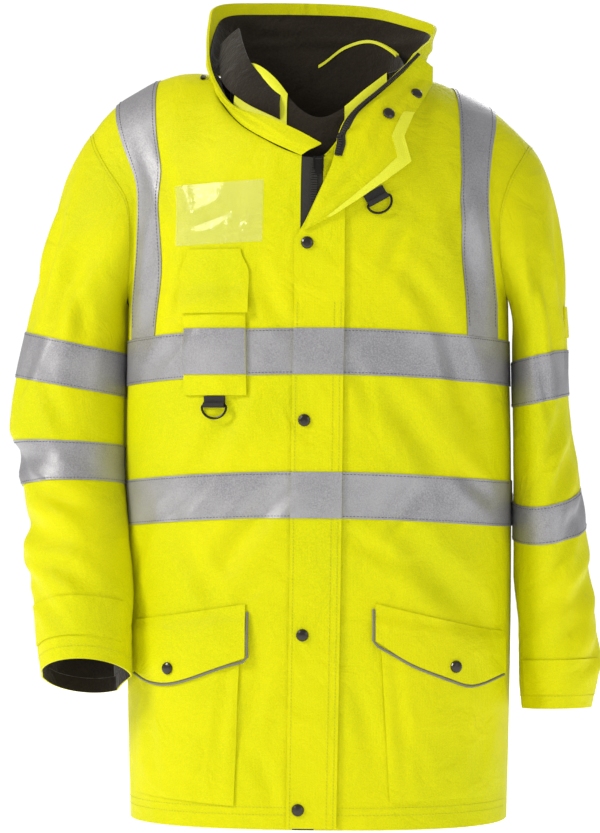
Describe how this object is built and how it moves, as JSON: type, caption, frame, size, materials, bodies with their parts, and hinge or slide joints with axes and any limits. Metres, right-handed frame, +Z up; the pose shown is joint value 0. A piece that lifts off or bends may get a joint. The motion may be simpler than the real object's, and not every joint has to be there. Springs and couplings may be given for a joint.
{
  "type": "hi-vis work jacket",
  "caption": "Filled-out hi-vis parka with reflective tapes, open collar, flapped pockets and hanging D-rings.",
  "frame": {"origin": "middle of the neck base, between the neck points, where the wearer's shoulders and neck carry the jacket", "axes": "+Z up along the wearer, front of the jacket faces -Y, the wearer's left is +X"},
  "size_m": [0.66, 0.3034, 0.9191],
  "materials": {
    "shell": "fluorescent yellow coated oxford weave with a soft sheen",
    "tape": "grey retroreflective tape with a low satin sheen",
    "lining": "matt black-brown fleece and nylon lining",
    "snap": "dark lacquered snap caps",
    "clear_window": "clear soft vinyl over the shell cloth",
    "piping": "grey reflective piping",
    "zip_tape": "black zip tape and moulded teeth",
    "zip_metal": "gunmetal zip slider and pull",
    "webbing": "black polyester webbing",
    "ring_metal": "dark nickelled steel wire"
  },
  "bodies": {
    "jacket": {"front_right": "shell", "front_left": "shell", "back": "shell", "sleeve_right": "shell", "sleeve_left": "shell", "collar": "shell", "storm_flap": "shell", "lapel": "shell", "cuff_tab_right": "shell", "cuff_tab_left": "shell", "sleeve_pocket_flap": "shell", "phone_pocket": "shell", "phone_flap": "shell", "pocket_right": "shell", "pocket_flap_right": "shell", "pocket_left": "shell", "pocket_flap_left": "shell", "facing_right": "shell", "facing_left": "shell", "tape_upper_front_right": "tape", "tape_upper_front_left": "tape", "tape_upper_back": "tape", "tape_lower_front_right": "tape", "tape_lower_front_left": "tape", "tape_lower_back": "tape", "brace_front_right": "tape", "brace_front_left": "tape", "brace_back_right": "tape", "brace_back_left": "tape", "tape_upper_flap": "tape", "tape_lower_flap": "tape", "tape_upper_sleeve_right": "tape", "tape_lower_sleeve_right": "tape", "tape_upper_sleeve_left": "tape", "tape_lower_sleeve_left": "tape", "tape_phone_pocket": "tape", "cuff_lining_right": "lining", "cuff_lining_left": "lining", "collar_lining": "lining", "warmer_front": "lining", "warmer_back": "lining", "snap_top": "snap", "snap_chest": "snap", "snap_waist": "snap", "snap_hem": "snap", "snap_pocket_right": "snap", "snap_pocket_left": "snap", "snap_lapel_upper": "snap", "snap_lapel_lower": "snap", "id_window": "clear_window", "piping_right": "piping", "piping_left": "piping", "zip_chain": "zip_tape", "zip_slider": "zip_metal", "ring_tab_pocket": "webbing", "ring_tab_chest": "webbing", "hood_pull": "zip_tape"},
    "ring_pocket": {"d_ring_pocket": "ring_metal"},
    "ring_chest": {"d_ring_chest": "ring_metal"},
    "pull": {"zip_pull": "zip_metal"}
  },
  "joints": [
    {"name": "ring_pocket_swing", "type": "hinge", "parent": "jacket", "child": "ring_pocket", "pos_m": [-0.10187, -0.14341, -0.36445], "axis": [-0.9701, 0.2428, -0.0033], "range_deg": [0, 140]},
    {"name": "ring_chest_swing", "type": "hinge", "parent": "jacket", "child": "ring_chest", "pos_m": [0.0758, -0.14239, -0.14364], "axis": [-0.8476, -0.2357, -0.4754], "range_deg": [0, 140]},
    {"name": "zip_pull_swing", "type": "hinge", "parent": "jacket", "child": "pull", "pos_m": [0.01206, -0.15055, -0.09932], "axis": [-0.9999, -0.0147, 0.0006], "range_deg": [0, 110]}
  ]
}
